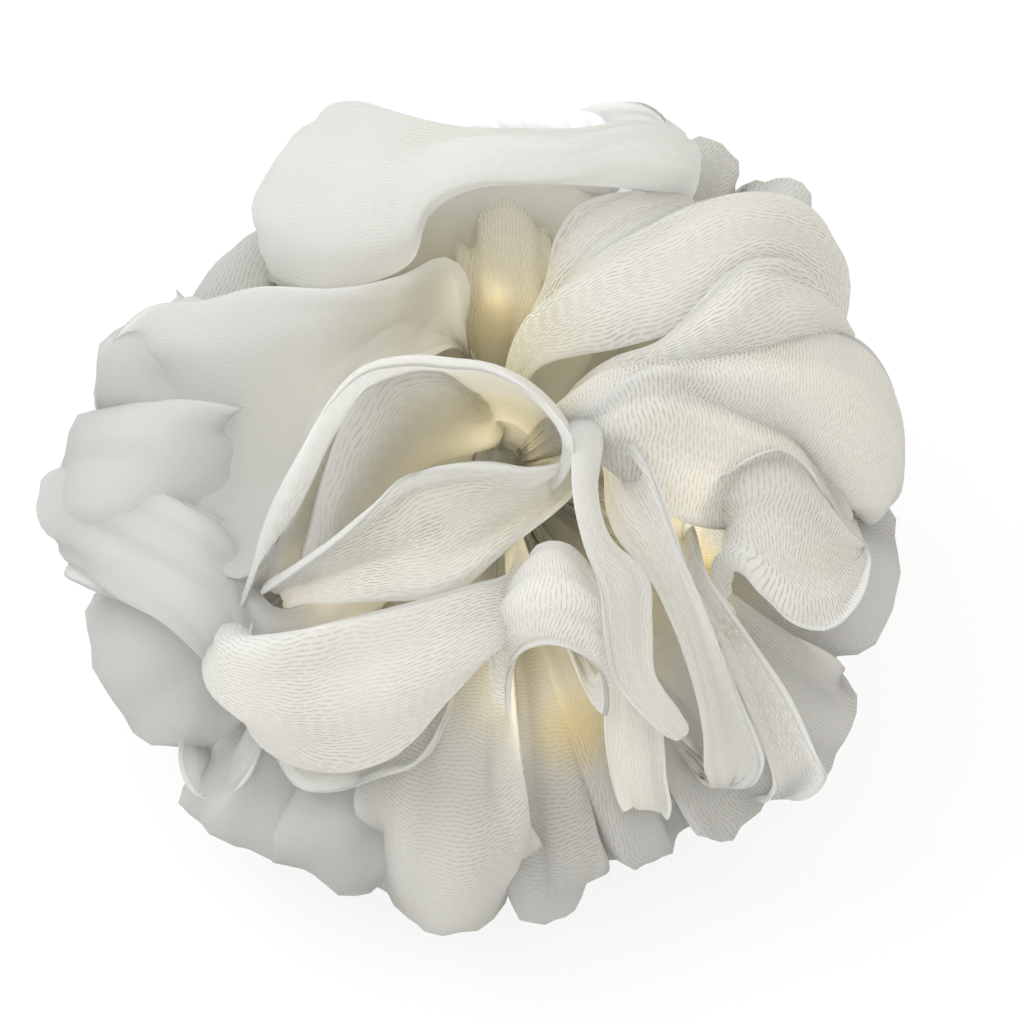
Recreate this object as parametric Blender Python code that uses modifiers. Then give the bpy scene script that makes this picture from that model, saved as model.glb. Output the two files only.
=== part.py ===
# Mesh bath pouf: one net gathered into petals, the string that binds it and a rope loop to hang it by.
# Run with: blender --background --python part.py
import math

import bmesh
import bpy
import numpy as np

MM = 0.001

# Driving dimensions, in millimetres. The pouf lies on a flat surface with its face turned up.
# The face frame has x to the right, y up its face and d out of its face, from the middle of the pouf.
LEAN = math.radians(55)
CENTRE_HEIGHT = 47.0
CENTRE_SIDE = 0.6
CENTRE_BACK = 0.3
CLEARANCE = 0.3

UP = np.array((0.0, math.cos(LEAN), math.sin(LEAN)))

# The net: two layers of thin knitted tube, with the air between them, make one petal's wall.
NET_WALL = 1.4
GATHER_POINT = np.array((4.0, 6.0, -8.0))
GATHER_RADIUS = 12.0
ROOT_SPREAD = 0.16
ROOT_GAP = 2.4
NET_FACES = 8950

# How finely the petals' surfaces are drawn: points along and across each, and steps between curve points.
BAND_ROWS = 15
LOOP_ROWS = 11
BACK_ROWS = 9
COLUMNS = 4
CURVE_STEPS = 24
FULL_BELLY_WIDTH = 12.0

# The shape of a petal that is a loop: shares of its width and powers that round its course off.
NEARLY_STRAIGHT_OUT = 0.95
TIP_FULLNESS = 0.85
SIDE_FULLNESS = 0.8
WIDTH_FULLNESS = 0.7
CROWN_FULLNESS = 0.6
EDGE_DROOP = 2.2
LIFT_SHARE = 1.9
SWAY_SHARE = 2.6
CROWN_SHARE = 0.28
ROOT_WIDTH = 0.14

# Petals that the face doesn't show, spread evenly over the back and sides.
# They leave out the nape, which has its own, and are pressed where they meet the surface below.
BACK_REACH = 58.0
BACK_WIDTH = 30.0
BACK_BULGE = 11.0
BACK_DROOP = 7.0
BACK_PLACES = 40
BACK_FROM = 0.05
BACK_SWING = 4.0
BACK_SWING_STEP = 2.4
BACK_TWIST_STEP = 1.1
SIDE_REACH = 52.0
SIDE_DEPTH = -0.3
NAPE_RISE = 0.75
NAPE_DEPTH = -0.6
PRESS = 5.0
PRESS_FROM = 0.2

# The rope and the string that binds the gathers round its two ends.
ROPE_DIAMETER = 6.5
STRING_DIAMETER = 2.0

# Petals made as a band of net between two edges, given in the face frame.
# Each runs from the gathers along its points and back to the gathers: rim, other edge and belly.
BANDS = {
    "collar": (
        [(-10, 50, -14), (-14, 58, -4), (-15, 61.8, 6), (-12, 60, 16), (-5, 57, 24), (4, 55.4, 30),
         (14, 55.6, 29), (23, 57.2, 22), (28.5, 57.5, 12), (24, 60.8, 2), (16, 60, -4), (10, 52, -12)],
        [(-22, 36, -8), (-30, 36, 2), (-30.5, 34, 12), (-22, 32, 22), (-9, 36, 27), (-6, 43, 29),
         (0, 46, 31), (10, 46.8, 31), (22, 46.5, 28), (30.5, 45, 16), (30, 42, 4), (24, 36, -8)],
        -5.0),
    "drape": (
        [(-1, 26, 20), (-1, 33, 22), (-3, 36.5, 22), (-10, 34, 26), (-20, 32.5, 30), (-31, 33, 27),
         (-40, 31, 23), (-47, 30.5, 18), (-53, 26, 10), (-56, 20, 4), (-56, 14, -4)],
        [(-2, 24, 20), (-6, 23, 26), (-13, 21, 30), (-19, 15, 33), (-23, 9, 34), (-26, 2, 34), (-29, -6, 33),
         (-34, -10, 31), (-41, -6, 28), (-48, 1, 23), (-52, 6, 16), (-55, 10, 8), (-54, 12, -4)],
        -5.0),
    "left_sweep": (
        [(-34, -28, 20), (-39.5, -21.5, 26), (-45, -16, 28), (-51, -13.5, 24), (-57, -11, 15), (-60, -8, 6)],
        [(-29, -14, 28), (-35, -3, 27), (-42, 1, 26), (-48, 5, 20), (-54, 9, 12), (-60, 9, 2)],
        -4.0),
    "cup": (
        [(-32, -33, 12), (-35, -25, 20), (-34, -16, 28), (-31, -9, 34), (-28, 0, 40), (-25, 7, 43),
         (-21, 15, 46), (-16, 20.5, 47), (-9, 22.3, 47), (-3, 22, 48), (2, 21.5, 48), (7, 19, 49),
         (11, 15.5, 49), (14, 10.5, 48), (13.5, 7, 45), (11, 4, 40)],
        [(-15, -22, 0), (-14, -17, 2), (-12, -11, 4), (-9, -5, 5), (-6, 0, 5), (-3, 4, 5), (-1, 7, 6),
         (0, 9, 6), (2, 10, 7), (3, 10, 7), (4, 9.5, 7), (5, 9, 7), (6, 8, 7), (6, 7, 6),
          (6, 5, 5), (6, 3, 4)],
        5.0),
    "cup_lining": (
        [(-5, 20.5, 38), (-12, 19, 40), (-17.5, 13, 41), (-21, 5, 39), (-22.8, -2, 36), (-24, -9, 32)],
        [(2, 10, 10), (-3, 9, 10), (-7, 6, 10), (-9, 1, 9), (-11, -4, 9), (-13, -9, 8)],
        2.5),
    "scoop": (
        [(15, 9, 38), (12, 6.3, 43), (8, 5.4, 45), (3, 5.8, 46), (-2, 5.9, 46), (-6, 5.6, 46), (-10, 4.5, 45),
         (-14, 1, 44), (-20, -4, 41), (-27, -9, 36), (-31, -12, 28)],
        [(15, 3, 34), (11, -1, 38), (7, -4, 40), (2, -8, 41), (-2, -11, 41), (-6, -12.3, 41),
         (-11, -12.8, 39),
         (-15, -13, 37), (-20, -13.5, 34), (-24, -13.5, 30), (-27, -14, 24)],
        -3.0),
    "bag": (
        [(-31, -14, 26), (-33, -17, 33), (-31, -17.4, 39), (-25, -17, 42), (-17, -15.4, 45),
         (-8, -13, 46), (0, -10.5, 45), (5, -9, 40)],
        [(-32, -22, 16), (-34.5, -26, 22), (-31, -33, 28), (-22, -37, 32), (-12, -36, 36),
         (-6, -29, 38), (0, -21, 38), (4, -15, 34)],
        -5.0),
    "bag_lip": (
        [(-30, -33, 14), (-28.5, -37, 20), (-25.5, -40.5, 23), (-20, -41, 25), (-14, -39, 27), (-8, -37, 27),
         (-4, -30, 24)],
        [(-25, -30, 10), (-26, -33, 16), (-22, -36, 20), (-18, -36, 22), (-13, -34, 23), (-9, -30, 22),
         (-4, -24, 18)],
        -2.0),
    "gutter": (
        [(-39, -22, 18), (-42.5, -30, 16), (-43.8, -38, 10), (-41.5, -42.2, 9), (-37, -42.3, 13),
         (-33.5, -38.5, 18), (-31, -34, 18)],
        [(-35, -20, 16), (-36, -27, 12), (-38, -34, 6), (-37.5, -37, 5), (-35.5, -36, 7), (-33, -32, 10),
         (-31, -27, 12)],
        1.0),
    "hook": (
        [(37.5, -15, 26), (35.6, -11.5, 30), (36.2, -8, 34), (39.5, -8.6, 38), (43, -12, 39), (47, -15.6, 39),
         (52, -16.8, 36), (56, -14, 31), (58, -10, 25), (57.5, -5, 18)],
        [(30, -6, 24), (30.5, -2, 28), (33, 2.8, 33), (37, 6, 37), (41, 8.2, 38), (45, 9, 37),
         (48.5, 6.8, 35),
         (52, 2, 31), (55, -2.5, 25), (56.5, -5, 17)],
        -3.5),
    "ribbon_1": (
        [(14, 11, 44), (14.5, 2, 48), (16, -5, 49), (18.3, -11, 48), (19, -18, 46), (20.5, -24, 43),
         (26, -31, 38), (29, -33, 32)],
        [(19, 11, 41), (18, 3, 45), (20, -4, 47), (25, -9, 46), (25.6, -16, 44), (26, -23, 42), (29, -28, 37),
         (31, -31, 30)],
        1.5),
    "ribbon_2": (
        [(20, 11, 40), (24, 8, 44), (27, 2, 46), (29.5, -5, 45), (32.5, -12, 43), (36, -20, 40),
         (39, -28, 35), (42, -37.5, 27), (38, -41, 20)],
        [(18.5, 7, 30), (19, 1, 34), (21, -4, 38), (25, -9, 40), (29, -17, 39), (32, -26, 36),
         (33.5, -33, 30), (34, -38, 24), (35, -41, 18)],
        2.0),
    "ribbon_3": (
        [(30, 0, 24), (34, -10, 36), (37.5, -15, 36), (41.5, -20.5, 34), (46, -27, 31), (50, -35, 26),
         (52, -40, 16), (47, -43, 8)],
        [(26, -4, 22), (30, -10, 32), (34, -16, 34), (37, -22, 33), (40, -29, 30), (43, -37, 25),
         (44, -42, 14), (42, -43, 8)],
        3.0),
    "strip": (
        [(19, -24, 28), (19.3, -31, 29), (19.8, -37, 27), (21, -42, 22), (22, -43, 14)],
        [(27, -26, 30), (27.6, -32, 29), (28.4, -39, 26), (29.3, -44, 21), (28, -44, 14)],
        -1.0),
    "trumpet": (
        [(5, -30, 32), (4.6, -25.5, 39), (5.6, -22, 43), (8, -19.8, 46), (11.5, -19, 48), (15, -20.3, 47),
         (18, -23.5, 43), (18, -29, 36)],
        [(3.5, -23, 29), (5, -17, 36), (7, -9.5, 42), (9.8, -4.6, 45), (13, -4.4, 45), (16, -8, 42),
         (18, -15, 38), (18, -24, 30)],
        2.0),
    "collar_leg": (
        [(9, 28, 14), (11.5, 34, 19), (13, 40, 22), (15.5, 44, 24), (22, 46.5, 22), (29, 45.5, 14)],
        [(12, 29, 24), (15, 33.5, 27), (19, 37.5, 28), (24, 41, 27), (29, 43.5, 24), (33, 44, 17)],
        -1.5),
    "fan": (
        [(7, 24, 20), (11, 30, 24), (15, 34, 27), (20, 38, 29), (26, 41.5, 29), (33, 44.8, 27), (40, 46, 23),
         (47, 45, 17), (52, 41, 9), (53.3, 36, 2), (52, 29, -5)],
        [(10, 21, 28), (16, 23, 32), (22, 24, 35), (29, 26, 36), (35, 30, 35), (40, 34, 32), (44, 35, 27),
         (48, 33, 20), (50, 29, 12), (51, 26, 4), (50, 23, -4)],
        -3.5),
    "fan_front": (
        [(20, 22, 35), (27, 24.5, 38), (31.5, 29, 39), (36, 33.8, 38), (40, 36.5, 35), (45, 36, 29),
         (50, 32, 21), (52.5, 27, 12)],
        [(25, 18, 36), (32, 19, 38), (38, 21, 36), (43, 22, 33), (48, 23, 27), (52, 23, 20), (54, 22, 12),
         (53, 20, 4)],
        -3.0),
    "shell": (
        [(14, 16.5, 34), (20, 20.3, 38), (28, 22.7, 39), (40, 24.6, 36), (47, 26.6, 30), (53, 27.1, 23),
         (58.5, 24.5, 15), (62, 18.5, 8), (63, 11, 3), (61.8, 4, -2), (57, -0.8, -6)],
        [(18, 12, 38), (25, 15, 40), (33, 14, 39), (40, 11, 36), (46, 8, 31), (51, 3, 26), (54, 0, 20),
         (56.5, -0.5, 12), (57, -1, 4), (56, -1, -2), (54, -2, -7)],
        -4.0),
    "inner_fold": (
        [(14.5, 14, 38), (19, 16, 41), (23, 19.8, 43), (28, 21, 43), (34, 18.6, 41), (41, 15.5, 37),
         (47, 11.5, 32), (52, 6, 26), (55, 0, 19)],
        [(18, 8, 36), (22, 5, 37), (27, 1, 36), (32, -1, 33), (37, -1, 29), (42, 1, 26), (46, 1, 22),
         (50, -3, 17), (52, -7, 10)],
        -3.0),
}

# Petals made as a loop that runs out to its tip and back, in the face frame:
# tip, width, how far the front and the back of the loop stand apart, droop of its edges and sway.
LOOPS = {
    "throat": ((3, 50, 2), 46, 6, 6, 6, 0),
    "throat_pleat": ((5, 44, 12), 14, 5, 4, 4, 0),
    "nape_left": ((-17, 50, -25), 28, 8, 9, 6, 0),
    "nape_right": ((20, 49, -27), 28, 8, 9, 6, 0),
    "nape_middle": ((2, 45, -37), 30, 9, 9, 6, 0),
    "bump": ((-26, 37.3, 10), 13, 8, 6, 4, 0),
    "drop": ((-4.5, -62, 3), 27, 22, 8, 12, -3),
    "drop_small": ((12, -60.5, -4), 15, 16, 8, 6, 2),
    "lobe_low": ((27, -52.5, -2), 16, 14, 8, 5, 0),
    "fan_low_left": ((-24, -55, 2), 24, 14, 10, 5, 3),
    "fan_low_far": ((-39, -49, 0), 22, 14, 10, 6, 0),
    "lobe_left_low": ((-56, -24, 2), 28, 14, 10, 9, -3),
    "lobe_left": ((-63, 1, 4), 30, 20, 10, 10, 0),
    "lobe_left_high": ((-56.5, 22, 0), 26, 14, 12, 8, 0),
    "lobe_right": ((62, 12, -6), 28, 12, 10, 9, 4),
    "lobe_top_right": ((36.5, 54, -10), 16, 8, 10, 6, 0),
    "lobe_top_far": ((51, 46, -12), 18, 8, 10, 6, 0),
    "lobe_right_low": ((63, -12, -8), 26, 12, 10, 8, 0),
    "lobe_low_right": ((54, -38, 0), 26, 16, 10, 7, 0),
    "lobe_low_far": ((42, -45, 2), 22, 12, 8, 3, 0),
}

# The rope's route in the face frame, from the gathers round its loop and back.
ROPE_LEG = 3.6
ROPE_POINTS = 60
STRING_HEIGHT = 3.0
ROPE_ROUTE = [(0.4, 9, -8), (-1.5, 16, -9), (-8, 27, -9), (-14.5, 38, -8), (-15.5, 48, -5), (-9, 55.5, -1),
              (0, 58, 1), (9, 58.4, 1), (18, 56, 0), (24, 48, -3), (22.5, 38, -7), (15, 27, -9),
              (9.5, 16, -9), (7.6, 9, -8)]


def unit(vectors):
    return vectors / np.maximum(np.linalg.norm(vectors, axis=-1, keepdims=True), 1e-9)


def smooth_curve(points, count):
    """Evenly spaced points on a smooth curve through the given ones."""
    points = np.asarray(points, float)
    ends = np.vstack([2 * points[0] - points[1], points, 2 * points[-1] - points[-2]])
    knots = np.concatenate([[0], np.cumsum(np.linalg.norm(np.diff(ends, axis=0), axis=1) ** 0.5)])
    pieces = []
    for i in range(1, len(ends) - 2):
        t = np.linspace(knots[i], knots[i + 1], CURVE_STEPS, endpoint=False)[:, None]
        a = [mix(ends[k], ends[k + 1], knots[k], knots[k + 1], t) for k in (i - 1, i, i + 1)]
        b = [mix(a[k], a[k + 1], knots[i - 1 + k], knots[i + 1 + k], t) for k in (0, 1)]
        pieces.append(mix(b[0], b[1], knots[i], knots[i + 1], t))
    curve = np.vstack([*pieces, points[-1:]])
    run = np.concatenate([[0], np.cumsum(np.linalg.norm(np.diff(curve, axis=0), axis=1))])
    at = np.linspace(0, run[-1], count)
    return np.stack([np.interp(at, run, curve[:, k]) for k in range(3)], 1)


def mix(first, second, start, end, t):
    share = (t - start) / (end - start)
    return first * (1 - share) + second * share


def to_world(points):
    """From the face frame, in millimetres, to the pouf as it lies, pressed flat where it rests."""
    x, y, d = points[..., 0], points[..., 1], points[..., 2]
    right = x - CENTRE_SIDE
    back = y * math.sin(LEAN) - d * math.cos(LEAN) - CENTRE_BACK
    height = CENTRE_HEIGHT + y * math.cos(LEAN) + d * math.sin(LEAN)
    return np.stack([right, back, height], -1) * MM


def band_grid(rim, edge, belly, along=BAND_ROWS, across=COLUMNS):
    """Rows of points from the gathers, along a band of net and back to the gathers."""
    rim, edge = np.array(rim, float), np.array(edge, float)
    roots = [GATHER_POINT + ROOT_SPREAD * (rails[end] - GATHER_POINT) for rails, end in
             ((rim, 0), (rim, -1), (edge, 0), (edge, -1))]
    side_a = smooth_curve([roots[0], *rim, roots[1]], along)
    side_b = smooth_curve([roots[2], *edge, roots[3]], along)
    s = np.linspace(0, 1, across)[None, :, None]
    grid = side_a[:, None] * (1 - s) + side_b[:, None] * s
    span = side_b - side_a
    normal = unit(np.cross(unit(np.gradient((side_a + side_b) / 2, axis=0)), span))
    swell = belly * np.minimum(1, np.linalg.norm(span, axis=1) / FULL_BELLY_WIDTH)
    return grid + normal[:, None] * swell[:, None, None] * (1 - (2 * s - 1) ** 2)


def loop_grid(tip, width, front, back, droop, sway, twist=0.0, along=LOOP_ROWS, across=COLUMNS):
    """Rows of points from the gathers out to the tip of a petal and back.

    The turn runs from 0 at the gathers in front, through a right angle at the tip, to the gathers behind.
    """
    tip = np.array(tip, float)
    axis = unit(tip - GATHER_POINT)
    reach = np.linalg.norm(tip - GATHER_POINT)
    ahead = np.array((0.0, 0.0, 1.0)) if abs(axis[2]) < NEARLY_STRAIGHT_OUT else np.array((0.0, 1.0, 0.0))
    side = unit(np.cross(ahead, axis))
    up = unit(np.cross(axis, side))
    side, up = side * math.cos(twist) + up * math.sin(twist), up * math.cos(twist) - side * math.sin(twist)
    turn = np.pi * np.linspace(0, 1, along)
    out = reach * np.sin(turn) ** TIP_FULLNESS
    open_side = np.where(turn < np.pi / 2, front, back)
    slope = np.sign(np.cos(turn)) * np.abs(np.cos(turn)) ** SIDE_FULLNESS
    lift = open_side * slope * np.sin(turn) * LIFT_SHARE + ROOT_GAP * slope
    half = width / 2 * (ROOT_WIDTH + (1 - ROOT_WIDTH) * np.sin(turn) ** WIDTH_FULLNESS)
    shift = sway * np.sin(turn) * np.cos(turn) ** 2 * SWAY_SHARE
    s = np.linspace(-1, 1, across)[None, :, None]
    spine = GATHER_POINT + out[:, None] * axis + lift[:, None] * up + shift[:, None] * side
    grid = spine[:, None] + half[:, None, None] * s * side
    grid = grid - (droop * np.sin(turn) ** 3)[:, None, None] * np.abs(s) ** EDGE_DROOP * axis
    crown = np.where(turn < np.pi / 2, 1, -1) * np.abs(np.cos(turn)) ** CROWN_FULLNESS * half * CROWN_SHARE
    return grid + crown[:, None, None] * (1 - s ** 2) * up


def back_petals():
    """Petals spread evenly over the back and sides, each as long as the room under it allows."""
    golden = math.pi * (3 - math.sqrt(5))
    grids = {}
    for place in range(BACK_PLACES):
        depth = 1 - 2 * (place + 0.5) / BACK_PLACES
        if depth > BACK_FROM:
            continue
        ring = math.sqrt(1 - depth * depth)
        toward = np.array((ring * math.cos(golden * place), ring * math.sin(golden * place), depth))
        if toward[1] > NAPE_RISE and depth > NAPE_DEPTH:
            continue
        down = -float(toward @ UP)
        reach = SIDE_REACH if depth > SIDE_DEPTH else BACK_REACH
        if down > PRESS_FROM:
            reach = min(reach, (CENTRE_HEIGHT + PRESS * down ** 4) / down)
        swing = BACK_SWING * math.sin(place * BACK_SWING_STEP)
        grids[f"back_{place:02d}"] = loop_grid(toward * reach, BACK_WIDTH + swing, BACK_BULGE, BACK_BULGE,
                                               BACK_DROOP * (1 - max(0.0, down)), swing,
                                               twist=place * BACK_TWIST_STEP, along=BACK_ROWS)
    foot = GATHER_POINT - UP * (CENTRE_HEIGHT + float(GATHER_POINT @ UP) + PRESS)
    grids["underside"] = loop_grid(foot, BACK_WIDTH, BACK_BULGE, BACK_BULGE, 0.0, 0.0)
    return grids


def petal(name, grid, collection):
    """One petal: an open surface through the grid's points, thickened to the net's wall.

    Where it would go through the surface that the pouf lies on, it is pressed flat on it.
    """
    rows, columns = grid.shape[:2]
    points = to_world(grid)
    points[..., 2] = np.maximum(points[..., 2], NET_WALL * MM / 2)
    bm = bmesh.new()
    verts = [[bm.verts.new(p) for p in row] for row in points]
    for r in range(rows - 1):
        for c in range(columns - 1):
            bm.faces.new((verts[r][c], verts[r][c + 1], verts[r + 1][c + 1], verts[r + 1][c]))
    mesh = bpy.data.meshes.new(name)
    bm.to_mesh(mesh)
    bm.free()
    obj = bpy.data.objects.new(name, mesh)
    collection.objects.link(obj)
    wall = obj.modifiers.new("wall", "SOLIDIFY")
    wall.thickness = NET_WALL * MM
    wall.offset = 0
    baked(obj)
    for vert in obj.data.vertices:
        if vert.co.z < NET_WALL * MM / 2:
            vert.co.z = 0
    return obj


def material(name, colour, roughness):
    mat = bpy.data.materials.new(name)
    mat.use_nodes = True
    shader = mat.node_tree.nodes["Principled BSDF"]
    shader.inputs["Base Color"].default_value = (*colour, 1)
    shader.inputs["Roughness"].default_value = roughness
    return mat


def tube(name, points, diameter, collection, closed=False):
    """A round cord along the points, as a closed mesh."""
    curve = bpy.data.curves.new(name, "CURVE")
    curve.dimensions = "3D"
    curve.bevel_depth = diameter * MM / 2
    curve.bevel_resolution = 2
    curve.use_fill_caps = True
    spline = curve.splines.new("POLY")
    spline.points.add(len(points) - 1)
    spline.use_cyclic_u = closed
    for point, place in zip(spline.points, points):
        point.co = (*place, 1)
    guide = bpy.data.objects.new(name, curve)
    bpy.context.scene.collection.objects.link(guide)
    mesh = bpy.data.meshes.new_from_object(guide.evaluated_get(bpy.context.evaluated_depsgraph_get()))
    bpy.data.objects.remove(guide)
    bm = bmesh.new()
    bm.from_mesh(mesh)
    bmesh.ops.remove_doubles(bm, verts=bm.verts, dist=0.001 * MM)
    bmesh.ops.recalc_face_normals(bm, faces=bm.faces)
    bm.to_mesh(mesh)
    bm.free()
    mesh.shade_smooth()
    obj = bpy.data.objects.new(name, mesh)
    collection.objects.link(obj)
    return obj


def string_ring():
    """Points of the string, round both ends of the rope where it leaves the gathers."""
    radius = ROPE_LEG + ROPE_DIAMETER / 2 + CLEARANCE + STRING_DIAMETER / 2
    turn = np.linspace(0, 2 * np.pi, 24, endpoint=False)
    middle = GATHER_POINT + np.array((0.0, STRING_HEIGHT, 0.0))
    ring = np.stack([np.cos(turn), np.zeros_like(turn), np.sin(turn)], 1) * radius
    return to_world(middle + ring)


def gathers(collection):
    """The bunched net where all petals meet."""
    bm = bmesh.new()
    bmesh.ops.create_icosphere(bm, subdivisions=2, radius=GATHER_RADIUS * MM)
    bmesh.ops.translate(bm, verts=bm.verts, vec=to_world(GATHER_POINT))
    mesh = bpy.data.meshes.new("mesh_ruffle")
    bm.to_mesh(mesh)
    bm.free()
    obj = bpy.data.objects.new("mesh_ruffle", mesh)
    collection.objects.link(obj)
    return obj


def hide(obj):
    obj.hide_render = True
    obj.display_type = "WIRE"


def baked(obj):
    """The object's mesh with its modifiers applied."""
    mesh = bpy.data.meshes.new_from_object(obj.evaluated_get(bpy.context.evaluated_depsgraph_get()))
    obj.modifiers.clear()
    obj.data = mesh


def combine(target, operation, other):
    """Join another closed solid to the target, or cut it away."""
    step = target.modifiers.new(operation.lower(), "BOOLEAN")
    step.operation = operation
    step.object = other
    step.solver = "MANIFOLD"
    baked(target)


def thin_out(obj):
    """Merge the slivers that the petals' crossings leave, down to a reasonable number of faces."""
    obj.data.update()
    faces = sum(len(face.vertices) - 2 for face in obj.data.polygons)
    step = obj.modifiers.new("thin out", "DECIMATE")
    step.ratio = min(1.0, NET_FACES / faces)
    baked(obj)


def keep_outer_body(obj):
    """The pockets that crossing petals close off are filled, so the net is one body."""
    bm = bmesh.new()
    bm.from_mesh(obj.data)
    bmesh.ops.triangulate(bm, faces=bm.faces)
    groups = connected_groups(bm)
    largest = max(groups, key=len)
    loose = [vert for group in groups if group is not largest for vert in group]
    bmesh.ops.delete(bm, geom=loose, context="VERTS")
    bm.to_mesh(obj.data)
    bm.free()


def connected_groups(bm):
    seen = set()
    groups = []
    for start in bm.verts:
        if start in seen:
            continue
        seen.add(start)
        group, edge = [start], [start]
        while edge:
            vert = edge.pop()
            for link in vert.link_edges:
                other = link.other_vert(vert)
                if other not in seen:
                    seen.add(other)
                    group.append(other)
                    edge.append(other)
        groups.append(group)
    return groups


def collection_in(parent, name):
    collection = bpy.data.collections.new(name)
    parent.children.link(collection)
    return collection


def build():
    for obj in list(bpy.data.objects):
        bpy.data.objects.remove(obj)
    scene = bpy.context.scene.collection
    parts = collection_in(scene, "mesh_bath_pouf")
    petals = collection_in(scene, "petals")
    cutters = collection_in(scene, "cutters")

    net = gathers(parts)
    grids = {name: band_grid(*rails) for name, rails in BANDS.items()}
    grids |= {name: loop_grid(*shape) for name, shape in LOOPS.items()}
    grids |= back_petals()
    for name, grid in grids.items():
        combine(net, "UNION", petal(name, grid, petals))
    keep_outer_body(net)
    thin_out(net)

    route = to_world(smooth_curve(ROPE_ROUTE, ROPE_POINTS))
    ring = string_ring()
    rope = tube("hanging_rope", route, ROPE_DIAMETER, parts)
    tie = tube("centre_tie", ring, STRING_DIAMETER, parts, closed=True)
    room = 2 * CLEARANCE
    combine(net, "DIFFERENCE", tube("rope_channel", route, ROPE_DIAMETER + room, cutters))
    combine(net, "DIFFERENCE", tube("tie_channel", ring, STRING_DIAMETER + room, cutters, closed=True))
    keep_outer_body(net)
    for obj in [*petals.objects, *cutters.objects]:
        hide(obj)

    net.data.materials.append(material("polyethylene net", (0.88, 0.87, 0.80), 0.5))
    tie.data.materials.append(material("nylon string", (0.85, 0.86, 0.86), 0.4))
    rope.data.materials.append(material("polypropylene rope", (0.88, 0.90, 0.93), 0.3))


build()
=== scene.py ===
import math

import bpy
import bmesh
import numpy as np
from mathutils import Matrix


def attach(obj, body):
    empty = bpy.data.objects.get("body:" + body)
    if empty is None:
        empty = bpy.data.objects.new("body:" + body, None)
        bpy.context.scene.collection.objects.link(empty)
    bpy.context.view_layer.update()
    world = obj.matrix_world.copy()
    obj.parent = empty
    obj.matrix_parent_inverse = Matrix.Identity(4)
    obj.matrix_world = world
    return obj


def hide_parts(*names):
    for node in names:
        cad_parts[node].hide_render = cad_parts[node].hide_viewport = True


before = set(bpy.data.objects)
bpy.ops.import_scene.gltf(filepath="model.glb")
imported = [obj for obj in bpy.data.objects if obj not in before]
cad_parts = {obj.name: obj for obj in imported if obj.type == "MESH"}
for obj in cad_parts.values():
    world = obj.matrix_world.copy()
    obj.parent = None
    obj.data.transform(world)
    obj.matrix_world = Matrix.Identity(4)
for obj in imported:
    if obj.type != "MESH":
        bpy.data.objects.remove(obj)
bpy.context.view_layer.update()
print("frame loaded:", sorted(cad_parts))

mm = 0.001

# where the pouf lies, as the solids have it: face frame in mm, x right, y up the face, d out of the face
pose = {
    "lean": math.radians(55),  # how far the face is turned up from upright
    "centreHeight": 47.0,
    "centreSide": 0.6,
    "centreBack": 0.3,
    "gatherPoint": np.array((4.0, 6.0, -8.0)),
}


def toWorld(points):
    points = np.asarray(points, float)
    x, y, d = points[..., 0], points[..., 1], points[..., 2]
    lean = pose["lean"]
    right = x - pose["centreSide"]
    back = y * math.sin(lean) - d * math.cos(lean) - pose["centreBack"]
    height = pose["centreHeight"] + y * math.cos(lean) + d * math.sin(lean)
    return np.stack([right, back, height], -1) * mm


def unit(vectors):
    return vectors / np.maximum(np.linalg.norm(vectors, axis=-1, keepdims=True), 1e-9)


def mix(first, second, start, end, t):
    share = (t - start) / (end - start)
    return first * (1 - share) + second * share


def smoothCurve(points, count):
    # evenly spaced points on a smooth curve through the given ones
    points = np.asarray(points, float)
    ends = np.vstack([2 * points[0] - points[1], points, 2 * points[-1] - points[-2]])
    knots = np.concatenate([[0], np.cumsum(np.linalg.norm(np.diff(ends, axis=0), axis=1) ** 0.5)])
    pieces = []
    for i in range(1, len(ends) - 2):
        t = np.linspace(knots[i], knots[i + 1], 24, endpoint=False)[:, None]
        a = [mix(ends[k], ends[k + 1], knots[k], knots[k + 1], t) for k in (i - 1, i, i + 1)]
        b = [mix(a[k], a[k + 1], knots[i - 1 + k], knots[i + 1 + k], t) for k in (0, 1)]
        pieces.append(mix(b[0], b[1], knots[i], knots[i + 1], t))
    curve = np.vstack([*pieces, points[-1:]])
    run = np.concatenate([[0], np.cumsum(np.linalg.norm(np.diff(curve, axis=0), axis=1))])
    at = np.linspace(0, run[-1], count)
    return np.stack([np.interp(at, run, curve[:, k]) for k in range(3)], 1)


# camera and stage

view = {
    "lens": 250.0,  # a long lens, so the petals in front are hardly enlarged
    "sensor": 36.0,
    "mmPerPixel": 0.15,
    "pictureSide": 1024,
    "middlePixel": (474, 511),  # the pouf's middle in the photo
}


def makeCamera():
    lean = pose["lean"]
    distance = view["pictureSide"] * view["mmPerPixel"] * view["lens"] / view["sensor"]
    half = view["pictureSide"] / 2
    x = (half - view["middlePixel"][0]) * view["mmPerPixel"]
    y = (view["middlePixel"][1] - half) * view["mmPerPixel"]
    data = bpy.data.cameras.new("camera")
    data.lens = view["lens"]
    data.sensor_width = view["sensor"]
    data.clip_start = 0.05
    data.clip_end = 20
    camera = bpy.data.objects.new("camera", data)
    bpy.context.scene.collection.objects.link(camera)
    camera.matrix_world = Matrix.Translation(toWorld((x, y, distance))) @ Matrix.Rotation(
        math.pi / 2 - lean, 4, "X")
    bpy.context.scene.camera = camera


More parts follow.
